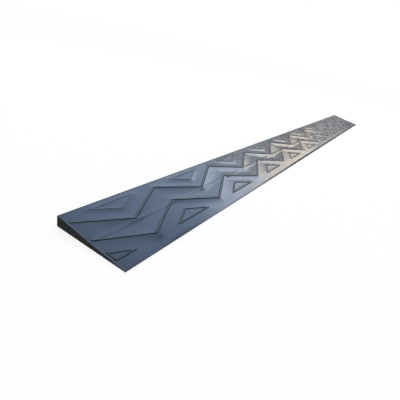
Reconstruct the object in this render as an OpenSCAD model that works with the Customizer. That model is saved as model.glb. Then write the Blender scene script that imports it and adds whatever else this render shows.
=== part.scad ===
// Threshold ramp: a low moulded rubber wedge with a zigzag tread, held to the floor by two strips of tape.
// X runs along the doorway, Y from the thin front edge to the tall rear face, Z up from the floor.

/* [Wedge] */
// Length along the doorway
ramp_l = 1000; // [300:10:2000]
// Run from the front edge to the rear face
ramp_w = 72; // [70:1:110]
// Height of the rear face above the floor
ramp_h = 10; // [9:0.5:14]
// Thickness of the rubber at the front edge
nose_t = 0.8; // [0.6:0.1:2]
// Run of the gentler front slope, up to the crease in the top
crease_run = 35; // [30:1:40]
// Height of the crease above the floor
crease_h = 4.6; // [4.2:0.1:6]
// Flat that breaks the upper edge of the rear face
edge_break = 0.5; // [0.2:0.1:1]

/* [Tread] */
// Length of one zigzag repeat
pitch = 103.5; // [80:0.5:140]
// Part of a repeat that is cut off at the left end
first_point = 2.2; // [0:0.1:20]
// Run of a zigzag stroke from its front point to its rear point
stroke_rise = 24.4; // [18:0.1:28]
// Front points of the lower zigzag, measured from the front edge
lower_run = 15; // [13:0.5:18]
// Run from the lower zigzag to the upper one
band_run = 23.3; // [18:0.1:26]
// Width of every tread rib
rib_w = 1.5; // [1:0.1:3]
// Height of every tread rib above the plain slope
rib_h = 0.6; // [0.3:0.05:0.7]
// Half the base of each tread triangle, along the middle of its rib
tri_half = 24; // [15:0.5:26]
// Base of the front triangles, measured from the front edge
front_tri_run = 11.7; // [9:0.1:13]
// Base of the rear triangles, measured from the rear face
rear_tri_run = 6.6; // [6:0.1:8]
// Plain strip left at each end of the tread
end_margin = 2; // [1:0.5:10]

/* [Tape] */
// Width of each tape
tape_w = 15; // [8:1:18]
// Thickness of the foam tape
tape_t = 0.6; // [0.5:0.1:0.8]
// How far the tape stands out of its channel
tape_proud = 0.2; // [0.1:0.05:0.3]
// Gap round the tape in its channel
tape_gap = 0.3; // [0.1:0.1:1]
// Front side of the front tape, measured from the front edge
front_tape_run = 18; // [16:1:20]
// Rear side of the rear tape, measured from the rear face
rear_tape_run = 7; // [5:1:12]
// Bare end between a tape and the end of the wedge
tape_end = 10; // [4:1:40]
// Thickness of the release liner
liner_t = 0.2; // [0.1:0.05:0.3]
// Width of the liner's loose edge, which a finger lifts
finger_lift = 3; // [0:0.5:5]

/* [Hidden] */

// Length that a cutting shape runs past what it cuts
overrun = ramp_h / 2;

// Heights above the floor, with the liners lying on it
rubber_z = liner_t + tape_proud;
nose_z = rubber_z + nose_t;
channel_z = liner_t + tape_t;
sky_z = ramp_h + overrun;

// Places from front to rear
front_y = -ramp_w / 2;
rear_y = ramp_w / 2;
crease_y = front_y + crease_run;
front_slope = (crease_h - nose_z) / crease_run;
rear_slope = (ramp_h - crease_h) / (ramp_w - crease_run - edge_break);

// The zigzags, which start at a rear point just past the left end
left_x = -ramp_l / 2;
first_x = left_x - first_point;
repeats = ceil((ramp_l + first_point) / pitch);
stroke_slope = stroke_rise / (pitch / 2);
stroke_angle = atan(stroke_slope);
lower_front_y = front_y + lower_run;
upper_front_y = lower_front_y + band_run;
half_rib = rib_w / 2;
half_rib_run = half_rib / cos(stroke_angle);

// The triangles, whose sides run parallel to the strokes
front_tri_y = front_y + front_tri_run;
rear_tri_y = rear_y - rear_tri_run;

// Tapes, channels and liners
tape_l = ramp_l - 2 * tape_end;
front_tape_y = front_y + front_tape_run;
rear_tape_y = rear_y - rear_tape_run - tape_w;

// Height of the plain slope at a place from front to rear
function slope_z(y) = y < crease_y
    ? nose_z + (y - front_y) * front_slope
    : crease_h + (y - crease_y) * rear_slope;

// The line of the plain slope from front to rear, raised by rise
function slope_line(rise) = [
    for (y = [front_y, crease_y, rear_y])
        [y, slope_z(y) + rise]
];

// Points of a zigzag whose front points lie at y
function zigzag(y) = [
    for (i = [0 : 2 * repeats])
        [first_x + i * pitch / 2, y + (i % 2 == 0 ? stroke_rise : 0)]
];

function reversed(points) = [for (i = [len(points) - 1 : -1 : 0]) points[i]];

// A triangle on a base at y that points along side, grown evenly on all sides
function triangle(x, y, side, grow) =
    let (half = tri_half + grow * (1 + 1 / cos(stroke_angle)) / stroke_slope, base_y = y - side * grow)
    [[x - half, base_y], [x + half, base_y], [x, base_y + side * half * stroke_slope]];

// A shape drawn from front to rear and up, drawn out along the whole ramp
module along(profile) {
    translate([left_x, 0, 0])
        rotate([90, 0, 90])
            linear_extrude(ramp_l) polygon(profile);
}

// Plan of the tread between the plain ends, with both of its ends drawn in by inset
module tread_field(inset) {
    translate([left_x + end_margin + inset, front_y])
        square([ramp_l - 2 * (end_margin + inset), ramp_w]);
}

// A shape drawn in plan, kept off the plain ends and drawn upwards
module over_tread() {
    linear_extrude(sky_z)
        intersection() {
            children();
            tread_field(0);
        }
}

// Plan of the front row of triangles
module front_triangles(grow) {
    for (i = [0 : repeats])
        polygon(triangle(first_x + i * pitch, front_tri_y, 1, grow));
}

// Plan of the rear row of triangles
module rear_triangles(grow) {
    for (i = [0 : repeats - 1])
        polygon(triangle(first_x + (i + 1 / 2) * pitch, rear_tri_y, -1, grow));
}

// Plan of a zigzag rib
module zigzag_line(y) {
    polygon(concat(zigzag(y - half_rib_run), reversed(zigzag(y + half_rib_run))));
}

// The wedge before its ribs are added and its channels are cut
module plain_wedge() {
    along([
        [front_y, rubber_z],
        [front_y, nose_z],
        [crease_y, crease_h],
        [rear_y - edge_break, ramp_h],
        [rear_y, ramp_h - edge_break],
        [rear_y, rubber_z]
    ]);
}

// Low ribs along both zigzags and round every triangle, rooted in the wedge.
// A triangle that is cut off at an end is closed there by a rib along the cut.
module ribs() {
    intersection() {
        over_tread() {
            zigzag_line(lower_front_y);
            zigzag_line(upper_front_y);
            difference() {
                front_triangles(half_rib);
                intersection() {
                    front_triangles(-half_rib);
                    tread_field(rib_w);
                }
            }
            difference() {
                rear_triangles(half_rib);
                intersection() {
                    rear_triangles(-half_rib);
                    tread_field(rib_w);
                }
            }
        }
        along(concat(slope_line(-rib_h), reversed(slope_line(rib_h))));
    }
}

// A channel in the underside for a tape whose front side lies at y
module channel(y) {
    translate([-tape_l / 2 - tape_gap, y - tape_gap, rubber_z - overrun])
        cube([tape_l + 2 * tape_gap, tape_w + 2 * tape_gap, channel_z - rubber_z + overrun]);
}

module rubber_wedge() {
    color([0.33, 0.38, 0.46])
        union() {
            difference() {
                plain_wedge();
                channel(front_tape_y);
                channel(rear_tape_y);
            }
            ribs();
        }
}

// A strip of foam tape whose front side lies at y
module tape(y) {
    color([0.16, 0.16, 0.17])
        translate([-tape_l / 2, y, liner_t])
            cube([tape_l, tape_w, tape_t]);
}

// A release liner on the tape at y, wider than the tape by its loose edge
module liner(y) {
    color([0.86, 0.80, 0.66])
        translate([-tape_l / 2, y, 0])
            cube([tape_l, tape_w + finger_lift, liner_t]);
}

module rear_adhesive_tape() {
    tape(rear_tape_y);
}

module front_adhesive_tape() {
    tape(front_tape_y);
}

module rear_release_liner() {
    liner(rear_tape_y);
}

module front_release_liner() {
    liner(front_tape_y);
}

rubber_wedge();
rear_adhesive_tape();
front_adhesive_tape();
rear_release_liner();
front_release_liner();
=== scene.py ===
# %% [markdown]
# # A rubber threshold ramp
#
# A threshold ramp is a long, low wedge of rubber that lies in front of a door sill, so that a wheelchair,
# a hoist or a trolley rolls over the sill instead of bumping into it. This one is a single compression
# moulding: a plain underside, a tall rear face that butts against the sill, a thin front edge, and a sloping
# top with an anti-slip tread. Two strips of foam tape under it hold it to the floor, and each tape is still
# covered by the paper liner that is peeled off when the ramp is laid.
#
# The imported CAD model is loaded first, because every piece below has to stay inside its box.

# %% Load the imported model
import math

import bmesh
import bpy
from mathutils import Matrix, Vector, noise
from mathutils.geometry import delaunay_2d_cdt, intersect_point_line


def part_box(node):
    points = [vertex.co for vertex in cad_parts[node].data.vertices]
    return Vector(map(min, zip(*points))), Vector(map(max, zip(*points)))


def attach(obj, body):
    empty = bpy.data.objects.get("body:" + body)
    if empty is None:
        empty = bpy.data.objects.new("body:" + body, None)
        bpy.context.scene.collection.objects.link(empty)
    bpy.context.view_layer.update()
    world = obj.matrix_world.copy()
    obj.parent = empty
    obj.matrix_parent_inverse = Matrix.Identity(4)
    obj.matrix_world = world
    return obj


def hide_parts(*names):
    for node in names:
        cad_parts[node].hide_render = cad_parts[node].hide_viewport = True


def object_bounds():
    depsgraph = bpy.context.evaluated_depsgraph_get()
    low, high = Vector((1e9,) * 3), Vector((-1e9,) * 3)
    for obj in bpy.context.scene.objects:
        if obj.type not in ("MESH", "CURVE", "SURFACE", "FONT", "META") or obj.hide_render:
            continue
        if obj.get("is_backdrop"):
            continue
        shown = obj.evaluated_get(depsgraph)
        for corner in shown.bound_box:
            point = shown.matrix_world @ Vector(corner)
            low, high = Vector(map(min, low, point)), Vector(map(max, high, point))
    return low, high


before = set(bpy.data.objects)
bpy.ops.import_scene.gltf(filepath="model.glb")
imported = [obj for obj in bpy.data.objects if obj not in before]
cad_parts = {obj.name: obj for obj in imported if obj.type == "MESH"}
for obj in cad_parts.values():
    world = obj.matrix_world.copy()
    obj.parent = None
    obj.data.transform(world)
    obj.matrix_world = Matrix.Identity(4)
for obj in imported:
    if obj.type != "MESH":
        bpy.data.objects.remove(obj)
cad_low, cad_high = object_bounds()

MM = 0.001
LENGTH, RUN, HEIGHT = cad_high - cad_low
LEFT, RIGHT, FRONT = cad_low.x, cad_high.x, cad_low.y
scene = bpy.context.scene
print(f"ramp {LENGTH / MM:.0f} x {RUN / MM:.0f} x {HEIGHT / MM:.1f} mm, nodes {sorted(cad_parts)}")

# %% [markdown]
# ## The camera
#
# The photograph looks along the ramp from just beyond its near left end, a little from the front and from
# above. A short distance and a fairly wide lens make the near end look several times as wide as the far end.
# Its place, its turn and its lens come from fitting the four corners and the points of the tread, which is
# more exact than moving a camera by eye.

# %% Place the camera
SENSOR_WIDTH, LENS, NEAREST_SIGHT = 36, 29.215, 0.01
CAMERA_PLACE, CAMERA_TURN = (-0.6327, -0.1471, 0.1509), (62.787, -11.694, -56.754)

camera_data = bpy.data.cameras.new("camera")
camera_data.sensor_width = SENSOR_WIDTH
camera_data.lens = LENS
camera_data.clip_start = NEAREST_SIGHT
camera = bpy.data.objects.new("camera", camera_data)
camera.location = CAMERA_PLACE
camera.rotation_euler = [math.radians(turn) for turn in CAMERA_TURN]
scene.collection.objects.link(camera)
scene.camera = camera
print(f"camera {camera.location.z:.3f} m above the floor, lens {camera_data.lens} mm")

# %% [markdown]
# ## The profile of the wedge
#
# Seen from its end, the top of the wedge is two flat slopes that meet at a shallow crease, a gentle one in
# front and a steeper one behind it. The crease itself stands up as a soft low ridge. The front edge is rolled
# down so that a wheel meets no lip, and the upper edge of the rear face is slightly rounded, as a mould's
# corner is. A bevelled box could give the slopes but not the ridge and the rolled edge, so one function gives
# the height for any distance from the front edge, and every later step uses it.

# %% Height of the plain slope
RUBBER_Z = 0.4 * MM
NOSE_Z = 1.2 * MM
CREASE_RUN, CREASE_Z, CREASE_SOFT = 35 * MM, 4.6 * MM, 1.5 * MM
RIDGE_RUN, RIDGE_HALF, RIDGE_HEIGHT = 36.2 * MM, 3 * MM, 0.2 * MM
EDGE_ROUND = 0.5 * MM
NOSE_RUN, NOSE_DROP = 3 * MM, 0.08 * MM
FRONT_SLOPE = (CREASE_Z - NOSE_Z) / CREASE_RUN
REAR_SLOPE = (HEIGHT - CREASE_Z) / (RUN - EDGE_ROUND - CREASE_RUN)


def plain_height(run):
    """Height of the slope above the floor at a distance from the front edge."""
    past_crease = run - CREASE_RUN
    height = CREASE_Z + past_crease * (FRONT_SLOPE if past_crease < 0 else REAR_SLOPE)
    if abs(past_crease) < CREASE_SOFT:
        bend = (REAR_SLOPE - FRONT_SLOPE) / (4 * CREASE_SOFT)
        height = CREASE_Z + past_crease * FRONT_SLOPE + bend * (past_crease + CREASE_SOFT) ** 2
    off_ridge = (run - RIDGE_RUN) / RIDGE_HALF
    if abs(off_ridge) < 1:
        height += RIDGE_HEIGHT * (1 - off_ridge ** 2) ** 2
    if run < NOSE_RUN:
        height -= NOSE_DROP * (1 - run / NOSE_RUN) ** 2
    past_top = (run - (RUN - EDGE_ROUND)) / EDGE_ROUND
    if past_top > 0:
        height = HEIGHT - EDGE_ROUND * (1 - math.sqrt(max(0, 1 - past_top ** 2)))
    return height


print("height at front, crease and rear:", [round(plain_height(r) / MM, 2) for r in (0, CREASE_RUN, RUN)])

# %% [markdown]
# ## The lines of the tread
#
# Two zigzag lines run along the whole ramp, with a row of small triangles in front of them and another row
# behind them, whose sides run parallel to the zigzags. Everything repeats with one pitch, so it is drawn once,
# in plan, as a cell that is one pitch long, instead of along the whole metre. The cell starts and ends at a
# rear point of the zigzags.

# %% Draw one repeat in plan
PITCH = 103.5 * MM
FIRST_POINT = 2.2 * MM
RISE = 24.4 * MM
LOWER_RUN, UPPER_RUN = 15.0 * MM, 38.3 * MM
TRIANGLE_HALF = 24 * MM
FRONT_BASE, REAR_BASE = 11.7 * MM, RUN - 6.6 * MM
SLANT = RISE / (PITCH / 2)
LEAN = math.hypot(1, SLANT)


def zigzag(run, aside=0):
    """One repeat of a zigzag whose front point lies at run, moved aside across its own lines."""
    shift = aside * LEAN
    return [(0, run + RISE + shift), (PITCH / 2, run + shift), (PITCH, run + RISE + shift)]


def triangle(x, base, side, grow=0):
    """A triangle on a base, pointing to the rear for side 1 and to the front for side -1, grown all round."""
    half = TRIANGLE_HALF + grow * (1 + LEAN) / SLANT
    low = base - side * grow
    return [(x, low), (x + half, low), (x, low + side * half * SLANT), (x - half, low), (x, low)]


def zigzag_lines(aside=0):
    """Both zigzags of the cell, moved aside across their own lines."""
    return [zigzag(LOWER_RUN, aside), zigzag(UPPER_RUN, aside)]


def triangle_lines(grow=0):
    """The triangle behind the zigzags, and the two halves of the one in front of them."""
    front = triangle(0, FRONT_BASE, 1, grow)[:3]
    return [triangle(PITCH / 2, REAR_BASE, -1, grow), front, [(PITCH - x, y) for x, y in front]]


print("lines in a cell:", len(zigzag_lines() + triangle_lines()))

# %% [markdown]
# ## A mesh that follows the lines
#
# A plain grid would need a million faces to show ribs less than two millimetres wide. Here rows of points run
# along each line, close together beside it, and the fields between them get a few loose points. A Delaunay
# triangulation joins them all and keeps the rows as edges, so that every rib gets clean sides.

# %% Tools for points and triangles
ALONG = 2 * MM
INSIDE_ONLY, ROUNDING = 1, 0.005


def along(line, step=ALONG):
    """The points of a line, with more points between them so that none are further apart than step."""
    points = []
    for start, end in zip(line, line[1:]):
        start, end = Vector(start), Vector(end)
        count = max(1, math.ceil((end - start).length / step))
        points += [start + (end - start) * (i / count) for i in range(count)]
    return points + [Vector(line[-1])]


def distance_to(point, lines):
    """Distance in plan from a point to the nearest of some lines."""
    nearest = RUN
    for line in lines:
        for start, end in zip(line, line[1:]):
            foot, share = intersect_point_line(point, start, end)
            foot = Vector(start).lerp(Vector(end), min(1, max(0, share)))
            nearest = min(nearest, (foot - point).length)
    return nearest


def triangulate(points, edges):
    """Joins points in plan into triangles that keep the edges. It works in millimetres for a safe rounding."""
    wide = [point / MM for point in points]
    verts, _, faces, ids, _, _ = delaunay_2d_cdt(wide, edges, [], INSIDE_ONLY, ROUNDING, True)
    return [vert * MM for vert in verts], faces, ids


print("points along one zigzag:", len(along(zigzag(LOWER_RUN))))

# %% Triangulate the cell
TRIANGLE_SHARE = 0.9
ROWS = [step * MM for step in (0.3, 0.42, 0.55, 0.69, 0.82, 1.05, 1.3, 1.8)]
STRAIGHT = [run * MM for run in (0, 0.8, 1.4, 2.4, 3.6, 5)]
STRAIGHT += [RIDGE_RUN + step * MM for step in (-3, -2, -1, 0, 1, 2, 3)]
STRAIGHT += [RUN - step * MM for step in (1.8, 1.2, 0.5, 0.3, 0.15, 0.05, 0)]
FILL, CLEAR_OF_LINES = 2.6 * MM, 1.9 * MM
CLEAR_OF_STRAIGHT = FILL / 3
STAGGER = 0.75, 0.25

cell_points, cell_edges = [], []
cell_lines = zigzag_lines() + triangle_lines()
rows = list(cell_lines)
for step in ROWS:
    for side in (step, -step):
        rows += zigzag_lines(side) + triangle_lines(side * TRIANGLE_SHARE)
rows += [[(0, run), (PITCH, run)] for run in STRAIGHT]
rows += [[(x, 0), (x, RUN)] for x in (0, PITCH)]
for row in rows:
    first = len(cell_points)
    cell_points += along(row)
    cell_edges += [(i, i + 1) for i in range(first, len(cell_points) - 1)]
across, deep = math.ceil(PITCH / FILL), math.ceil(RUN / FILL)
for j in range(1, deep):
    for i in range(across):
        loose = Vector(((i + STAGGER[j % 2]) * PITCH / across, j * RUN / deep))
        off_straight = min(abs(loose.y - run) for run in STRAIGHT)
        if distance_to(loose, cell_lines) > CLEAR_OF_LINES and off_straight > CLEAR_OF_STRAIGHT:
            cell_points.append(loose)
plan, plan_faces, _ = triangulate(cell_points, cell_edges)
cell_mesh = bpy.data.meshes.new("tread_cell")
cell_mesh.from_pydata([(p.x, FRONT + p.y, plain_height(p.y)) for p in plan], [], plan_faces)
print(f"one cell has {len(plan)} points and {len(plan_faces)} faces")

# %% [markdown]
# ## Tools for node trees
#
# The tread, the finishes, the floor and the world are all node trees. Written out node by node they would be
# long and hard to read, so three small tools do it: one adds a node and fills or links its inputs, one adds a
# step of arithmetic, and one turns a range of values into another range.

# %% Add nodes in one line
def add(tree, kind, links=(), **settings):
    """Adds a node. Each link names an input and gives the socket or the plain value that it gets."""
    made = tree.nodes.new(kind)
    for name, value in settings.items():
        setattr(made, name, value)
    for socket, source in links:
        if hasattr(source, "is_output"):
            tree.links.new(source, made.inputs[socket])
        else:
            made.inputs[socket].default_value = source
    return made


def sum_of(tree, operation, first, second=0.0):
    """One step of arithmetic on two sockets or numbers."""
    return add(tree, "ShaderNodeMath", [(0, first), (1, second)], operation=operation).outputs[0]


def graded(tree, value, start, end, low, high, smooth=True):
    """Turns a value between start and end into one between low and high, and holds it beyond them."""
    return add(tree, "ShaderNodeMapRange", [("Value", value), ("From Min", start), ("From Max", end),
                                            ("To Min", low), ("To Max", high)],
               interpolation_type="SMOOTHSTEP" if smooth else "LINEAR").outputs[0]


print("node tools:", add.__name__, sum_of.__name__, graded.__name__)

# %% [markdown]
# ## The tread as a Geometry Nodes tree
#
# The relief follows one rule. Each line is a low rib, and the rubber swells up towards it in a hollow curve,
# because the mould was cut with a rounded tool along each line. So the height depends only on the distance to
# the nearest line, which the Geometry Proximity node gives. Where two lines meet, the swells meet in a mitre
# by themselves, which would be hard to model by hand. The triangles behind the zigzags have lower ribs, with a
# fainter painted shade, on fuller swells than those in front of them, so their shares change from front to rear.
# The tree raises the cell, repeats it, joins the copies and gives them their material. It also notes on each
# point how high the rib is there, where its top is and where shade is painted dark at the foot of its walls, so
# that the finish can tell them apart later.

# %% Build the tread tree
BETWEEN_ROWS = FRONT + 30 * MM, FRONT + 45 * MM
HOLLOWNESS, PAINTED_SHADE_CORE, WELD = 2.0, 0.4, 0.02 * MM


def tread_tree():
    """Raises a cell along the guides' lines and repeats it."""
    tree = bpy.data.node_groups.new("tread strip", "GeometryNodeTree")
    sockets = [("Cell", "Geometry"), ("Zigzags", "Object"), ("Triangles", "Object"), ("Repeats", "Int")]
    sockets += [(name, "Float") for name in ("Pitch", "Triangle share", "Rib height", "Rib top", "Rib foot",
                                             "Painted shade reach", "Swell height", "Swell reach", "Front swell",
                                             "Rear swell", "Rear rib", "Rear painted shade")]
    for name, kind in sockets + [("Finish", "Material")]:
        tree.interface.new_socket(name, in_out="INPUT", socket_type="NodeSocket" + kind)
    tree.interface.new_socket("Strip", in_out="OUTPUT", socket_type="NodeSocketGeometry")
    given = add(tree, "NodeGroupInput").outputs
    place = add(tree, "GeometryNodeInputPosition").outputs[0]
    flat = add(tree, "ShaderNodeVectorMath", [(0, place), (1, (1, 1, 0))], operation="MULTIPLY").outputs[0]
    depth = add(tree, "ShaderNodeSeparateXYZ", [(0, place)]).outputs["Y"]

    def by_row(front, rear):
        """A share that changes from the front row of triangles to the rear row."""
        return graded(tree, depth, *BETWEEN_ROWS, front, rear)

    def relief(guide, share, swell, height, dark):
        """The rib's height, the whole rise, the shade painted at the foot of its walls and the rib's top along the
        lines of one guide. The shares scale its widths, its swell, its height and how dark its painted shade is."""
        lines = add(tree, "GeometryNodeObjectInfo", [("Object", given[guide])]).outputs["Geometry"]
        near = add(tree, "GeometryNodeProximity", [(0, lines), ("Sample Position", flat)], target_element="EDGES")
        away = sum_of(tree, "DIVIDE", near.outputs["Distance"], share)
        top = graded(tree, away, given["Rib top"], given["Rib foot"], 1.0, 0.0)
        rib = sum_of(tree, "MULTIPLY", top, sum_of(tree, "MULTIPLY", given["Rib height"], height))
        straight = graded(tree, away, 0.0, given["Swell reach"], 1.0, 0.0, False)
        hollow = sum_of(tree, "POWER", straight, HOLLOWNESS)
        full_swell = sum_of(tree, "MULTIPLY", hollow, given["Swell height"])
        rise = sum_of(tree, "ADD", rib, sum_of(tree, "MULTIPLY", full_swell, swell))
        # Shade is painted dark into the corner at the foot of each rib's wall.
        off_wall = sum_of(tree, "ABSOLUTE", sum_of(tree, "SUBTRACT", away, given["Rib foot"]))
        core = sum_of(tree, "MULTIPLY", given["Painted shade reach"], PAINTED_SHADE_CORE)
        painted_shade = sum_of(tree, "MULTIPLY", graded(tree, off_wall, core, given["Painted shade reach"], 1.0, 0.0), dark)
        return rib, rise, painted_shade, top

    zigzags = relief("Zigzags", 1.0, 1.0, 1.0, 1.0)
    triangles = relief("Triangles", given["Triangle share"], by_row(given["Front swell"], given["Rear swell"]),
                       by_row(1.0, given["Rear rib"]), by_row(1.0, given["Rear painted shade"]))
    rib, rise, painted_shade, top = [sum_of(tree, "MAXIMUM", *values) for values in zip(zigzags, triangles)]
    up = add(tree, "ShaderNodeCombineXYZ", [("Z", rise)]).outputs[0]
    shape = add(tree, "GeometryNodeSetPosition", [("Geometry", given["Cell"]), ("Offset", up)]).outputs[0]
    for name, value in (("rib", rib), ("painted_shade", painted_shade), ("top", top)):
        shape = add(tree, "GeometryNodeStoreNamedAttribute", [("Geometry", shape), ("Name", name), ("Value", value)],
                    data_type="FLOAT", domain="POINT").outputs[0]
    step = add(tree, "ShaderNodeCombineXYZ", [("X", given["Pitch"])]).outputs[0]
    spots = add(tree, "GeometryNodeMeshLine", [("Count", given["Repeats"]), ("Offset", step)]).outputs[0]
    copies = add(tree, "GeometryNodeInstanceOnPoints", [("Points", spots), ("Instance", shape)]).outputs[0]
    real = add(tree, "GeometryNodeRealizeInstances", [("Geometry", copies)]).outputs[0]
    joined = add(tree, "GeometryNodeMergeByDistance", [("Geometry", real), ("Distance", WELD)]).outputs[0]
    finished = add(tree, "GeometryNodeSetMaterial", [("Geometry", joined), ("Material", given["Finish"])])
    add(tree, "NodeGroupOutput", [(0, finished.outputs[0])])
    return tree


tree = tread_tree()
print("tread tree:", len(tree.nodes), "nodes")

# %% [markdown]
# ## Running the tree
#
# The tree measures from two guides, which are nothing but the lines of the tread as loose edges. The sizes go
# in by each socket's identifier. The result is then copied out as a plain mesh, because the next steps cut it,
# and an exported model can't carry a live tree. The material is still empty here and is filled in later.

# %% Run the tree
RIB_HEIGHT, RIB_TOP, RIB_FOOT, PAINTED_SHADE_REACH = 0.55 * MM, 0.42 * MM, 0.82 * MM, 0.55 * MM
SWELL_HEIGHT, SWELL_REACH, FRONT_SWELL, REAR_SWELL = 0.65 * MM, 11 * MM, 0.25, 0.9
REAR_RIB, REAR_PAINTED_SHADE = 0.7, 0.2


def line_guide(name, lines):
    """Lines of the cell and its neighbours as loose edges on the floor, for the tree to measure from."""
    verts, edges = [], []
    for line in lines:
        for cell in (-1, 0, 1):
            edges += [(len(verts) + i, len(verts) + i + 1) for i in range(len(line) - 1)]
            verts += [(x + cell * PITCH, FRONT + y, 0) for x, y in line]
    mesh = bpy.data.meshes.new(name)
    mesh.from_pydata(verts, edges, [])
    guide = bpy.data.objects.new(name, mesh)
    scene.collection.objects.link(guide)
    return guide


def new_material(name):
    """An empty node material with its Principled shader."""
    material = bpy.data.materials.new(name)
    material.use_nodes = True
    return material, material.node_tree.nodes["Principled BSDF"]


skin, skin_shader = new_material("moulded_rubber_skin")
zigzag_guide = line_guide("zigzag_guide", zigzag_lines())
triangle_guide = line_guide("triangle_guide", triangle_lines())
strip = bpy.data.objects.new("tread_strip", cell_mesh)
scene.collection.objects.link(strip)
modifier = strip.modifiers.new("tread", "NODES")
modifier.node_group = tree
values = {"Zigzags": zigzag_guide, "Triangles": triangle_guide, "Pitch": PITCH,
          "Repeats": math.ceil((LENGTH + FIRST_POINT) / PITCH), "Triangle share": TRIANGLE_SHARE,
          "Rib height": RIB_HEIGHT, "Rib top": RIB_TOP, "Rib foot": RIB_FOOT, "Painted shade reach": PAINTED_SHADE_REACH,
          "Swell height": SWELL_HEIGHT, "Swell reach": SWELL_REACH, "Front swell": FRONT_SWELL,
          "Rear swell": REAR_SWELL, "Rear rib": REAR_RIB, "Rear painted shade": REAR_PAINTED_SHADE, "Finish": skin}
for item in tree.interface.items_tree:
    if item.in_out == "INPUT" and item.name in values:
        modifier[item.identifier] = values[item.name]
evaluated = strip.evaluated_get(bpy.context.evaluated_depsgraph_get())
strip_mesh = bpy.data.meshes.new_from_object(evaluated)
strip.modifiers.remove(modifier)
for helper in (strip, zigzag_guide, triangle_guide):
    bpy.data.objects.remove(helper)
print(f"tread strip: {len(strip_mesh.vertices)} points, {len(strip_mesh.polygons)} faces")

# %% [markdown]
# ## Cutting the strip to length
#
# The real strip is moulded with its pattern running through, so the pattern is simply cut off at both ends.
# A bisecting plane does the same to the mesh. A few more cuts close to each end give the points that the last
# shapes there need: the ribs stop just short of the end, and a triangle that the end cuts off is closed by a
# rib along the cut.

# %% Cut the strip
END_MARGIN, END_FADE, END_BREAK = 2 * MM, 0.35 * MM, 0.2 * MM
END_TOP = END_MARGIN + END_FADE
END_WALL = END_TOP + 2 * RIB_TOP * TRIANGLE_SHARE
END_FIELD = END_WALL + (RIB_FOOT - RIB_TOP) * TRIANGLE_SHARE
WALLS = (END_MARGIN + END_FADE / 2, (END_WALL + END_FIELD) / 2)
CUT_SNAP = 0.001 * MM

bm = bmesh.new()
bm.from_mesh(strip_mesh)
bmesh.ops.translate(bm, verts=bm.verts, vec=(LEFT - FIRST_POINT, 0, 0))


def slice_at(x, cut_side=0):
    """Cuts the strip across at x, and drops what lies on one side of the cut if a side is given."""
    everything = bm.verts[:] + bm.edges[:] + bm.faces[:]
    bmesh.ops.bisect_plane(bm, geom=everything, dist=CUT_SNAP, plane_co=(x, 0, 0), plane_no=(1, 0, 0),
                           clear_outer=cut_side > 0, clear_inner=cut_side < 0)


slice_at(LEFT, -1)
slice_at(RIGHT, 1)
for inset in (END_BREAK, 2 * END_BREAK, END_MARGIN - PAINTED_SHADE_REACH, END_MARGIN, WALLS[0], END_TOP,
              END_TOP + PAINTED_SHADE_REACH, END_WALL, WALLS[1], END_FIELD, END_FIELD + PAINTED_SHADE_REACH):
    slice_at(LEFT + inset)
    slice_at(RIGHT - inset)
print("after cutting:", len(bm.faces), "faces")

# %% [markdown]
# ## The small shapes of a real moulding
#
# No rubber strip is as true as a drawing. It lies a little wavy, its swells fade out towards the edges and the
# ends, and its ribs end in a short wall. Every point is moved once for all of this. The same loop notes two
# things for the finish: where shade is painted dark, at the walls and along the edges, and where a highlight
# is painted pale, on the tops of the ribs and along the cut ends. The front edge gets a painted shade as well,
# hardly at the left end and more from the middle on.

# %% Shape the ends, the edges and the waves
REAR_FADE, END_SWELL = 10 * MM, 50 * MM
WAVE_HEIGHT, WAVE_LENGTH = 0.22 * MM, 45 * MM
REAR_RIM, RIM_FADE = 1.8 * MM, 1.6 * MM
FRONT_SHADE_FROM, FRONT_SHADE_TO, FRONT_SHADE_LEAST, FRONT_SHADE_MOST = 0.12 * LENGTH, 0.4 * LENGTH, 0.4 * MM, 2.9 * MM
HIGHLIGHT_FROM, END_HIGHLIGHT, END_HIGHLIGHT_REACH = 0.75, 0.5, 1.6 * MM


def held(value):
    """A share that never leaves the range from 0 to 1."""
    return min(1, max(0, value))


def in_triangle(x, run):
    """Whether a place lies in one of the tread's triangles."""
    spot = (x - LEFT + FIRST_POINT) % PITCH
    to_front, to_rear = min(spot, PITCH - spot), abs(spot - PITCH / 2)
    return (0 <= run - FRONT_BASE <= (TRIANGLE_HALF - to_front) * SLANT
            or 0 <= REAR_BASE - run <= (TRIANGLE_HALF - to_rear) * SLANT)


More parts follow.
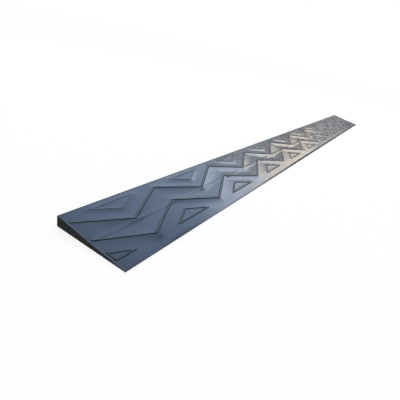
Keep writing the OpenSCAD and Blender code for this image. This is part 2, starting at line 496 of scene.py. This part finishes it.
painted_highlight_layer = bm.verts.layers.float.new("painted_highlight")
rib_layer, painted_shade_layer, top_layer = (bm.verts.layers.float[name] for name in ("rib", "painted_shade", "top"))
for vert in bm.verts:
    inset = min(vert.co.x - LEFT, RIGHT - vert.co.x)
    run = vert.co.y - FRONT
    plain, rib, top = plain_height(run), vert[rib_layer], vert[top_layer]
    wave = WAVE_HEIGHT * noise.noise(Vector((vert.co.x, vert.co.y, 0)) / WAVE_LENGTH)
    fade = min(1, run / NOSE_RUN, (RUN - run) / REAR_FADE, inset / END_SWELL)
    swell = fade * (vert.co.z - plain - rib + wave)
    kept = held((inset - END_MARGIN) / END_FADE)
    closed = in_triangle(vert.co.x, run) and inset < END_FIELD + PAINTED_SHADE_REACH
    if closed:
        closing = held((END_FIELD - inset) / (END_FIELD - END_WALL))
        rib, top = max(rib, RIB_HEIGHT * closing), max(top, closing)
    vert.co.z = min(HEIGHT, plain + kept * rib + swell)
    # The painted shade along the front edge is narrow at the left end and widens towards the middle.
    front_shade_share = held((vert.co.x - LEFT - FRONT_SHADE_FROM) / (FRONT_SHADE_TO - FRONT_SHADE_FROM))
    front_shade_width = FRONT_SHADE_LEAST + front_shade_share * (FRONT_SHADE_MOST - FRONT_SHADE_LEAST)
    # Painted shade along the rear edge, the front edge and the cut ends, and on the short walls where the ribs stop.
    edge = max((run - RUN + REAR_RIM) / RIM_FADE, (front_shade_width - run) / RIM_FADE, (END_BREAK - inset) / END_BREAK)
    end_wall = rib / RIB_HEIGHT * held(1 - abs(inset - WALLS[0]) / PAINTED_SHADE_REACH)
    if closed:
        end_wall = max(end_wall, held(1 - abs(inset - WALLS[1]) / PAINTED_SHADE_REACH))
    vert[painted_shade_layer] = max(kept * vert[painted_shade_layer], end_wall, held(edge))
    # The painted highlight: pale on the tops of the ribs and in a strip along each cut end.
    top_highlight = kept * held((top - HIGHLIGHT_FROM) / (1 - HIGHLIGHT_FROM))
    vert[painted_highlight_layer] = max(top_highlight, END_HIGHLIGHT * held(2 * (1 - inset / END_HIGHLIGHT_REACH)))
    if inset < END_BREAK / 2:
        vert.co.z -= END_BREAK / 2
print(f"top of the tread {max(vert.co.z for vert in bm.verts) / MM:.2f} mm above the floor")

# %% [markdown]
# ## Closing the sides and the underside
#
# So far the wedge is only a skin. Its rim is drawn straight down for the two ends, the front edge and the rear
# face, and then the underside is filled in. The underside has two shallow channels for the tapes. A boolean
# could cut them, but it would disturb the fine mesh above, so the channels are drawn into the plan of the
# underside and their faces pushed up. Drawing edges out makes new faces in an order that changes from run to
# run, so at the end they are sorted by their place.

# %% Draw the rim down
rim = [edge for edge in bm.edges if edge.is_boundary]
drawn = bmesh.ops.extrude_edge_only(bm, edges=rim)["geom"]
foot = [item for item in drawn if isinstance(item, bmesh.types.BMVert)]
for vert in foot:
    vert.co.z = RUBBER_Z
foot_ids = {vert: i for i, vert in enumerate(foot)}
under_points = [vert.co.xy.copy() for vert in foot]
under_edges = [tuple(foot_ids[v] for v in item.verts) for item in drawn
               if isinstance(item, bmesh.types.BMEdge) and all(v in foot_ids for v in item.verts)]
print("points round the foot:", len(foot))

# %% Fill the underside and push the channels up
TAPE_GAP = 0.3 * MM
SORTED_ALONG = Vector((1, 0.37, 0.11))

tapes = [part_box("front_adhesive_tape"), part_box("rear_adhesive_tape")]
around = Vector((TAPE_GAP, TAPE_GAP))
channels = [(low.xy - around, high.xy + around) for low, high in tapes]
for low, high in channels:
    ring = [low, Vector((high.x, low.y)), high, Vector((low.x, high.y))]
    first = len(under_points)
    under_points += ring
    under_edges += [(first + i, first + (i + 1) % len(ring)) for i in range(len(ring))]
under, under_faces, came_from = triangulate(under_points, under_edges)
under_verts = [foot[ids[0]] if ids and ids[0] < len(foot) else bm.verts.new((*point, RUBBER_Z))
               for point, ids in zip(under, came_from)]
in_channel = []
for face in under_faces:
    made = bm.faces.new([under_verts[i] for i in reversed(face)])
    middle = made.calc_center_median()
    if any(low.x < middle.x < high.x and low.y < middle.y < high.y for low, high in channels):
        in_channel.append(made)
channel_top = max(high.z for _, high in tapes)
for item in bmesh.ops.extrude_face_region(bm, geom=in_channel)["geom"]:
    if isinstance(item, bmesh.types.BMVert):
        item.co.z = channel_top
bmesh.ops.delete(bm, geom=[face for face in in_channel if face.is_valid], context="FACES")
bmesh.ops.recalc_face_normals(bm, faces=bm.faces)
bm.faces.sort(key=lambda face: face.calc_center_median().dot(SORTED_ALONG))
print("open edges left:", sum(1 for edge in bm.edges if not edge.is_manifold))

# %% [markdown]
# ## The finished wedge
#
# The moulded faces carry a satin skin, while the two ends and the thin front edge were cut with a knife and
# are dull and black. So the mesh gets two materials, chosen by the way a face points. Smooth shading bends
# round the swells, and edges sharper than an angle stay crisp. The new wedge then takes the place of the
# plain CAD wedge, which stays behind the scenes for collisions.

# %% Make the wedge an object
SHARP, FACING = math.radians(38), 0.9

cut, cut_shader = new_material("cut_rubber")
bm.normal_update()
for face in bm.faces:
    face.smooth = True
    face.material_index = 1 if abs(face.normal.x) > FACING or face.normal.y < -FACING else 0
for edge in bm.edges:
    edge.smooth = len(edge.link_faces) == 2 and edge.calc_face_angle() < SHARP
wedge_mesh = bpy.data.meshes.new("rubber_wedge_tread")
wedge_mesh.materials.append(skin)
wedge_mesh.materials.append(cut)
bm.to_mesh(wedge_mesh)
bm.free()
wedge = bpy.data.objects.new("rubber_wedge_tread", wedge_mesh)
scene.collection.objects.link(wedge)
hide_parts("rubber_wedge")
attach(wedge, "root")
print(f"wedge: {len(wedge_mesh.polygons)} faces")

# %% [markdown]
# ## Two effects that every finish shares
#
# Rubber, foam and paper all look uneven in the same two ways. They are mottled, with soft patches of a
# slightly different tone and a fine grain on top. And they show streaks in the direction in which they were
# made: rubber flows along the mould, a knife leaves lines on a cut end, paper fibres lie along the roll.
# Each effect is a node group that is built once and placed in each material with its own sizes. The groups
# take their coordinates from the material and put out plain values from 0 to 1.

# %% Mottle and grain
PATCH_RANGE, PATCH_DETAIL = (0.33, 0.67), 4.0
GRAIN_RANGE, GRAIN_DETAIL = (0.25, 0.75), 2.0


def new_group(name, inputs, outputs):
    """An empty shader node group with named sockets, and the node that holds its inputs."""
    group = bpy.data.node_groups.new(name, "ShaderNodeTree")
    for socket, kind in inputs:
        group.interface.new_socket(socket, in_out="INPUT", socket_type="NodeSocket" + kind)
    for socket in outputs:
        group.interface.new_socket(socket, in_out="OUTPUT", socket_type="NodeSocketFloat")
    return group, add(group, "NodeGroupInput").outputs


def noise_of(group, place, size, detail):
    """A noise whose spots are about as wide as size, in metres."""
    scale = sum_of(group, "DIVIDE", 1.0, size)
    return add(group, "ShaderNodeTexNoise", [("Vector", place), ("Scale", scale), ("Detail", detail)]).outputs[0]


mottle, given = new_group("mottle and grain", [("Place", "Vector"), ("Patch size", "Float"),
                                               ("Grain size", "Float")], ["Patches", "Grain"])
broad = noise_of(mottle, given["Place"], given["Patch size"], PATCH_DETAIL)
fine = noise_of(mottle, given["Place"], given["Grain size"], GRAIN_DETAIL)
add(mottle, "NodeGroupOutput", [("Patches", graded(mottle, broad, *PATCH_RANGE, 0.0, 1.0)),
                                ("Grain", graded(mottle, fine, *GRAIN_RANGE, 0.0, 1.0, False))])
print(mottle.name, "has", len(mottle.nodes), "nodes")

# %% Drawn streaks
STREAK_RANGE, STREAK_DETAIL = (0.35, 0.65), 3.0
FINE_RANGE, FINE_DETAIL, FINE_SHARE = (0.3, 0.7), 2.0, 0.3

streaks, given = new_group("drawn streaks", [("Place", "Vector"), ("Stretch", "Vector"), ("Streak size", "Float")],
                           ["Streaks", "Fine"])
drawn_out = add(streaks, "ShaderNodeVectorMath", [(0, given["Place"]), (1, given["Stretch"])], operation="MULTIPLY")
fine_size = sum_of(streaks, "MULTIPLY", given["Streak size"], FINE_SHARE)
broad = noise_of(streaks, drawn_out.outputs[0], given["Streak size"], STREAK_DETAIL)
fine = noise_of(streaks, drawn_out.outputs[0], fine_size, FINE_DETAIL)
add(streaks, "NodeGroupOutput", [("Streaks", graded(streaks, broad, *STREAK_RANGE, 0.0, 1.0)),
                                 ("Fine", graded(streaks, fine, *FINE_RANGE, 0.0, 1.0, False))])
print(streaks.name, "has", len(streaks.nodes), "nodes")

# %% [markdown]
# ## Placing the effects in a material
#
# Every finish starts in the same way: Object coordinates go into both groups, two tones are mixed by the
# patches, and a Bump node makes the surface rough to the touch. Three small tools do this, so that each
# finish below is only a list of its own colours and sizes.

# %% Tools for finishes
def effects(tree, patch, grain_size, stretch, streak):
    """Places both groups with sizes in metres, and returns the outputs of each."""
    place = add(tree, "ShaderNodeTexCoord").outputs["Object"]
    spots = add(tree, "ShaderNodeGroup", node_tree=mottle)
    lines = add(tree, "ShaderNodeGroup", node_tree=streaks)
    for node, sizes in ((spots, {"Patch size": patch, "Grain size": grain_size}),
                        (lines, {"Stretch": stretch, "Streak size": streak})):
        tree.links.new(place, node.inputs["Place"])
        for name, value in sizes.items():
            node.inputs[name].default_value = value
    return spots.outputs, lines.outputs


def mixed_colour(tree, share, first, second):
    """A colour between two colours or sockets."""
    node = add(tree, "ShaderNodeMix", data_type="RGBA")
    for socket, source in ((node.inputs[0], share), (node.inputs[6], first), (node.inputs[7], second)):
        if hasattr(source, "is_output"):
            tree.links.new(source, socket)
        else:
            socket.default_value = (*source, 1)
    return node.outputs[2]


def rough_skin(tree, shader, height, depth):
    """Turns a value over the surface into a relief of a given depth in metres."""
    bump = add(tree, "ShaderNodeBump", [("Height", height), ("Distance", depth), ("Strength", 1.0)])
    tree.links.new(bump.outputs["Normal"], shader.inputs["Normal"])


print("finish tools:", effects.__name__, mixed_colour.__name__, rough_skin.__name__)

# %% [markdown]
# ## The moulded skin of the rubber
#
# Compression-moulded rubber comes out of a polished mould with a satin, almost slate-grey skin. It mirrors the
# room softly where one looks along it and shows faint patches and flow lines. Shade is painted black into the
# sharp corners beside each rib, and a pale highlight is painted on the tops of the ribs. The points of the mesh
# already carry the masks for the painted shade and the painted highlight, so the material only reads them as
# attributes. A painted image could do this too, but it would blur on a strip one metre long.

# %% Fill in the skin
SKIN_TONES = (0.023, 0.036, 0.06), (0.029, 0.044, 0.072)
PAINTED_SHADE_COLOUR, HIGHLIGHT_COLOUR = (0.005, 0.006, 0.009), (0.085, 0.1, 0.125)
SKIN_ROUGH, PAINTED_SHADE_ROUGH, HIGHLIGHT_ROUGH = (0.145, 0.185), 0.9, 0.3
SHEEN_TINT, HIGHLIGHT_STREAKS = (0.55, 0.7, 1, 1), (0.6, 1.0)

tree = skin.node_tree
painted_shade = add(tree, "ShaderNodeAttribute", attribute_name="painted_shade").outputs["Fac"]
painted_highlight = add(tree, "ShaderNodeAttribute", attribute_name="painted_highlight").outputs["Fac"]
spots, lines = effects(tree, patch=30 * MM, grain_size=0.5 * MM, stretch=(0.08, 1, 1), streak=2.5 * MM)
tone = mixed_colour(tree, spots["Patches"], *SKIN_TONES)
# The painted highlight lightens the rib tops and the cut ends, broken up by streaks.
highlighted = sum_of(tree, "MULTIPLY", painted_highlight, graded(tree, lines["Fine"], 0.0, 1.0, *HIGHLIGHT_STREAKS))
tone = mixed_colour(tree, highlighted, tone, HIGHLIGHT_COLOUR)
# The painted shade turns the corners beside the ribs and the edges almost black.
tree.links.new(mixed_colour(tree, painted_shade, tone, PAINTED_SHADE_COLOUR), skin_shader.inputs["Base Color"])
dull = graded(tree, lines["Streaks"], 0.0, 1.0, *SKIN_ROUGH, False)
dull = graded(tree, highlighted, 0.0, 1.0, dull, HIGHLIGHT_ROUGH, False)
dull = graded(tree, painted_shade, 0.0, 1.0, dull, PAINTED_SHADE_ROUGH, False)
tree.links.new(dull, skin_shader.inputs["Roughness"])
skin_shader.inputs["Specular IOR Level"].default_value = 0.6
skin_shader.inputs["Specular Tint"].default_value = SHEEN_TINT
rough_skin(tree, skin_shader, spots["Grain"], depth=0.003 * MM)
print("skin:", len(tree.nodes), "nodes")

# %% [markdown]
# ## The cut rubber
#
# Inside, the rubber is plain black with small grey granules of filler. A knife or a saw leaves fine lines
# along the cut, and no skin, so it looks dull from every side. The same two groups do this with other sizes:
# tiny patches for the granules, and streaks that are drawn out along the cut.

# %% Fill in the cut rubber
CUT_TONES, CUT_ROUGH = ((0.009, 0.009, 0.011), (0.024, 0.024, 0.027)), (0.7, 0.9)

tree = cut.node_tree
spots, lines = effects(tree, patch=0.9 * MM, grain_size=0.25 * MM, stretch=(0.05, 0.08, 1), streak=0.6 * MM)
granules = sum_of(tree, "MULTIPLY", spots["Patches"], spots["Grain"])
tone = mixed_colour(tree, granules, *CUT_TONES)
tree.links.new(tone, cut_shader.inputs["Base Color"])
tree.links.new(graded(tree, lines["Streaks"], 0.0, 1.0, *CUT_ROUGH), cut_shader.inputs["Roughness"])
cut_shader.inputs["Specular IOR Level"].default_value = 0.15
rough_skin(tree, cut_shader, sum_of(tree, "ADD", lines["Fine"], spots["Grain"]), depth=0.03 * MM)
print("cut rubber:", len(tree.nodes), "nodes")

# %% [markdown]
# ## The tapes and their liners
#
# The tapes are black foam with closed cells, about a quarter of a millimetre wide, which show as tiny pits with
# shade painted dark into them.
# The liners are brown waxed paper, with fibres along the roll and a faint shine. Their CAD shapes are right as
# they are, flat strips, so these pieces stay as they came and only get a finish. Cells are best made with a
# Voronoi texture, which fills space with small rounded rooms as foam does.

# %% Foam tape
FOAM_CELL, PIT_RANGE, FOAM_ROUGH = 0.25 * MM, (0.1, 0.6), (0.68, 0.86)
FOAM_TONES, PIT_SHADE_COLOUR = ((0.018, 0.018, 0.02), (0.03, 0.03, 0.033)), (0.008, 0.008, 0.009)

foam, foam_shader = new_material("tape_foam")
tree = foam.node_tree
spots, lines = effects(tree, patch=6 * MM, grain_size=0.3 * MM, stretch=(0.1, 1, 1), streak=1.5 * MM)
place = add(tree, "ShaderNodeTexCoord").outputs["Object"]
cells = add(tree, "ShaderNodeTexVoronoi", [("Vector", place), ("Scale", 1 / FOAM_CELL)]).outputs["Distance"]
pits = graded(tree, cells, *PIT_RANGE, 0.0, 1.0)
tone = mixed_colour(tree, spots["Patches"], *FOAM_TONES)
# Each pit gets a painted shade, darker than the foam around it.
tree.links.new(mixed_colour(tree, pits, tone, PIT_SHADE_COLOUR), foam_shader.inputs["Base Color"])
tree.links.new(graded(tree, lines["Streaks"], 0.0, 1.0, *FOAM_ROUGH), foam_shader.inputs["Roughness"])
foam_shader.inputs["Specular IOR Level"].default_value = 0.3
rough_skin(tree, foam_shader, sum_of(tree, "SUBTRACT", spots["Grain"], pits), depth=0.04 * MM)
print("foam tape:", len(tree.nodes), "nodes")

# %% Waxed paper liner
PAPER_TONES, PAPER_ROUGH = ((0.5, 0.37, 0.2), (0.6, 0.47, 0.28)), (0.38, 0.52)
FIBRE_COLOUR, FIBRE_RANGE = (0.36, 0.25, 0.13), (0.1, 0.5)

paper, paper_shader = new_material("waxed_paper")
tree = paper.node_tree
spots, lines = effects(tree, patch=14 * MM, grain_size=0.2 * MM, stretch=(0.12, 1, 1), streak=0.5 * MM)
tone = mixed_colour(tree, spots["Patches"], *PAPER_TONES)
fibres = sum_of(tree, "MULTIPLY", lines["Streaks"], graded(tree, lines["Fine"], 0.0, 1.0, *FIBRE_RANGE))
tree.links.new(mixed_colour(tree, fibres, tone, FIBRE_COLOUR), paper_shader.inputs["Base Color"])
tree.links.new(graded(tree, spots["Patches"], 0.0, 1.0, *PAPER_ROUGH), paper_shader.inputs["Roughness"])
paper_shader.inputs["Specular IOR Level"].default_value = 0.4
rough_skin(tree, paper_shader, sum_of(tree, "ADD", lines["Fine"], spots["Grain"]), depth=0.008 * MM)
print("waxed paper:", len(tree.nodes), "nodes")

# %% Put the finishes on the strips
for name, finish in (("front_adhesive_tape", foam), ("rear_adhesive_tape", foam),
                     ("front_release_liner", paper), ("rear_release_liner", paper)):
    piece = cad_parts[name]
    if not piece.material_slots:
        piece.data.materials.append(finish)
    for place in piece.material_slots:
        place.material = finish
    print(f"{name}: {finish.name} on {len(piece.material_slots)} slot(s)")

# %% [markdown]
# ## A white studio
#
# The ramp stands out against plain white, with a faint shadow under it. More light would wash out the rubber,
# so the floor and the world only look white to the eye: a Light Path node tells rays that come from the
# camera, from a shine or through glass from those that light the scene. The floor keeps a fifth of its own
# shading, which is enough to show the shadow.

# %% Lay the floor
FLOOR_GREY, FLOOR_WHITE, FLOOR_HALF, FLOOR_Z = 0.95, 0.8, 4, -0.05 * MM


def seen_directly(tree):
    """1 for a ray from the camera, a shine or glass, and 0 for one that only lights the scene."""
    rays = add(tree, "ShaderNodeLightPath").outputs
    seen = sum_of(tree, "MAXIMUM", rays["Is Camera Ray"], rays["Is Glossy Ray"])
    return sum_of(tree, "MAXIMUM", seen, rays["Is Transmission Ray"])


def sheet_of(name, corners, finish):
    """A flat sheet of the studio, which is not part of the ramp."""
    mesh = bpy.data.meshes.new(name)
    mesh.from_pydata(corners, [], [tuple(range(len(corners)))])
    mesh.materials.append(finish)
    sheet = bpy.data.objects.new(name, mesh)
    scene.collection.objects.link(sheet)
    sheet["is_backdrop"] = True
    return sheet


def matte(name, grey):
    """A dull studio surface without any shine."""
    finish, shader = new_material(name)
    shader.inputs["Base Color"].default_value = (grey, grey, grey, 1)
    shader.inputs["Roughness"].default_value = 1
    shader.inputs["Specular IOR Level"].default_value = 0
    return finish, shader


floor_finish, floor_shader = matte("pale_floor", FLOOR_GREY)
tree = floor_finish.node_tree
white = add(tree, "ShaderNodeEmission").outputs[0]
share = sum_of(tree, "MULTIPLY", seen_directly(tree), FLOOR_WHITE)
mixed = add(tree, "ShaderNodeMixShader", [(0, share), (1, floor_shader.outputs[0]), (2, white)])
tree.links.new(mixed.outputs[0], tree.nodes["Material Output"].inputs["Surface"])
floor = sheet_of("floor", [(x * FLOOR_HALF, y * FLOOR_HALF, FLOOR_Z) for x, y in
                           ((-1, -1), (1, -1), (1, 1), (-1, 1))], floor_finish)
print(f"floor {floor.dimensions.x:.0f} x {floor.dimensions.y:.0f} m")

# %% Light the world
DAYLIGHT, WHITE = (0.97, 0.985, 1, 1), (1, 1, 1, 1)

world = bpy.data.worlds.new("studio")
scene.world = world
world.use_nodes = True
tree = world.node_tree
soft = tree.nodes["Background"]
soft.inputs["Color"].default_value = DAYLIGHT
soft.inputs["Strength"].default_value = 1
clear = add(tree, "ShaderNodeBackground", [("Color", WHITE), ("Strength", 1.0)])
mixed = add(tree, "ShaderNodeMixShader", [(0, seen_directly(tree)), (1, soft.outputs[0]), (2, clear.outputs[0])])
tree.links.new(mixed.outputs[0], tree.nodes["World Output"].inputs["Surface"])
print("world strength", soft.inputs["Strength"].default_value)

# %% [markdown]
# ## What the skin mirrors
#
# A satin surface that is seen at a low angle shows the room more than its own colour. In the photograph the
# near end mirrors something cool, the middle something bright and warm, and the far end a plain grey. So the
# studio gets a grey card behind the far end, which is darker on its front side and has a light patch low on its
# rear side. Black cloths hang where the walls of the ribs have to stay dark, and one beside the warm light, to
# keep the rear slope darker than the front one. All of them glow faintly by themselves instead of catching
# light, because a sheet that is lit unevenly makes the far ribs sparkle.

# %% Set up the card and the cloths
CARD_X, CARD_SIDES, CARD_TOP = 1.5, (-1, 1.6), 0.5
CARD_GREYS, CARD_TURN = (0.32, 0.44), (-0.15, 0.05)
PATCH_GLOW, PATCH_SIDE, PATCH_TOP = 1.1, (0.15, 0.42), (0.28, 0.12)
CLOTH_X, CLOTH_GREY = 1.45, 0.04
EDGE_CORNERS = (0.2, 0.31), (0.25, 0.28), (0.49, 0.73), (0.44, 0.76)


def even_grey(name, grey):
    """A finish that glows the same grey to every side, whatever light falls on it."""
    finish, shader = matte(name, 0)
    shader.inputs["Emission Color"].default_value = (grey, grey, grey, 1)
    shader.inputs["Emission Strength"].default_value = 1
    return finish, shader


card_finish, card_shader = even_grey("grey_card", 1)
tree = card_finish.node_tree
object_place = add(tree, "ShaderNodeTexCoord").outputs["Object"]
side = add(tree, "ShaderNodeSeparateXYZ", [(0, object_place)]).outputs
plain = graded(tree, side["Y"], *CARD_TURN, *CARD_GREYS)
patch = sum_of(tree, "MULTIPLY", graded(tree, side["Y"], *PATCH_SIDE, 0.0, PATCH_GLOW),
               graded(tree, side["Z"], *PATCH_TOP, 0.0, 1.0))
tree.links.new(sum_of(tree, "ADD", plain, patch), card_shader.inputs["Emission Strength"])
cloth_finish, _ = even_grey("black_cloth", CLOTH_GREY)


def upright(x, front, rear, foot, top):
    """The corners of a sheet that stands upright across the ramp's length."""
    return [(x, rear, foot), (x, front, foot), (x, front, top), (x, rear, top)]


def only_in_shine(sheet):
    """Lets a sheet show in the shine of the rubber and nowhere else, so that it casts no shadow either."""
    for sight in ("camera", "diffuse", "shadow", "transmission"):
        setattr(sheet, "visible_" + sight, False)


def black_cloth(name, corners):
    """A black cloth that the rubber mirrors."""
    only_in_shine(sheet_of(name, corners, cloth_finish))


only_in_shine(sheet_of("grey_card", upright(CARD_X, *CARD_SIDES, foot=0, top=CARD_TOP), card_finish))
black_cloth("cloth_front", upright(CLOTH_X, front=-1.2, rear=0, foot=0.35, top=0.95))
black_cloth("cloth_rear", upright(CLOTH_X, front=0.75, rear=1.6, foot=0, top=0.6))
black_cloth("cloth_edge", [(CLOTH_X, aside, rise) for aside, rise in EDGE_CORNERS])

# %% [markdown]
# ## The lights
#
# Five soft area lights stand where the slopes of the ramp mirror them: two cool ones for the near end, a pale
# one and two warm ones for the bright middle. They are given by their brightness rather than their power, so
# that a panel can be made larger without making its reflection brighter. A strip of black cloth hangs across
# the cool panels, a little nearer to the ramp, and makes the swells that lean towards it dark on one side.

# %% Hang the lights
UPRIGHT, LEANING = (0, 0, 1), (0, 0.6, 1)
COOL_PLACE, COOL_TARGET = Vector((0.396, 0.434, 0.77)), Vector((-0.461, -0.022, 0.065))
SKY_PLACE, SKY_TARGET = (0.53, 0.506, 0.559), (-0.327, 0.05, -0.146)
WINDOW_PLACE, WINDOW_TARGET = (1.4, 0.395, 0.934), (-0.25, 0, 0)
WARM_PLACE, LOW_PLACE, WARM_TARGET = (1.4, 0.191, 0.594), (1.4, 0.108, 0.311), (-0.1, 0, 0.05)
COOL_BLUE, SKY_BLUE = (0.4, 0.63, 1), (0.57, 0.76, 1)
PALE, WARM, PALE_WARM = (1, 0.96, 0.92), (1, 0.83, 0.6), (1, 0.92, 0.8)
STRIP_NEARER = 0.02
STRIP_CORNERS = (-0.036, 0.121), (-0.626, -0.356), (-0.682, -0.286), (-0.092, 0.191)


def facing(place, target, up=UPRIGHT):
    """The directions to the side, upwards and backwards of a panel that faces a target."""
    back = (Vector(place) - Vector(target)).normalized()
    side = Vector(up).cross(back).normalized()
    return side, back.cross(side), back


def softbox(name, place, target, size, radiance, colour, up=UPRIGHT):
    """A soft area light of a given brightness, out of the camera's sight. Its second side runs along up."""
    lamp = bpy.data.lights.new(name, "AREA")
    lamp.shape = "RECTANGLE"
    lamp.size, lamp.size_y = size
    lamp.energy = radiance * math.pi * lamp.size * lamp.size_y
    lamp.color = colour
    panel = bpy.data.objects.new(name, lamp)
    panel.location = place
    panel.rotation_euler = Matrix(facing(place, target, up)).transposed().to_euler()
    panel.visible_camera = False
    scene.collection.objects.link(panel)
    print(f"{name}: {lamp.energy:.2f} W")


softbox("cool_panel", COOL_PLACE, COOL_TARGET, (0.9, 0.34), radiance=1, colour=COOL_BLUE)
softbox("sky_panel", SKY_PLACE, SKY_TARGET, (0.9, 0.18), radiance=1.28, colour=SKY_BLUE)
softbox("window_panel", WINDOW_PLACE, WINDOW_TARGET, (0.25, 0.42), radiance=1.7, colour=PALE, up=LEANING)
softbox("warm_softbox", WARM_PLACE, WARM_TARGET, (0.25, 0.37), radiance=2.7, colour=WARM, up=LEANING)
softbox("warm_low", LOW_PLACE, WARM_TARGET, (0.1, 0.2), radiance=0.7, colour=PALE_WARM, up=LEANING)
to_side, upward, back = facing(COOL_PLACE, COOL_TARGET)
black_cloth("cloth_strip", [COOL_PLACE - STRIP_NEARER * back + aside * to_side + rise * upward
                            for aside, rise in STRIP_CORNERS])
scene.view_settings.view_transform = "Standard"

# %% [markdown]
# ## The size of the dressed ramp
#
# The dressed ramp may not be larger than its CAD model, because other parts are placed by that box. Its size is
# printed here, as the CAD size was printed at the start.

# %% Print the size of the dressed ramp
low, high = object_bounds()
print("visual box in mm:", [round(side / MM, 2) for side in high - low])
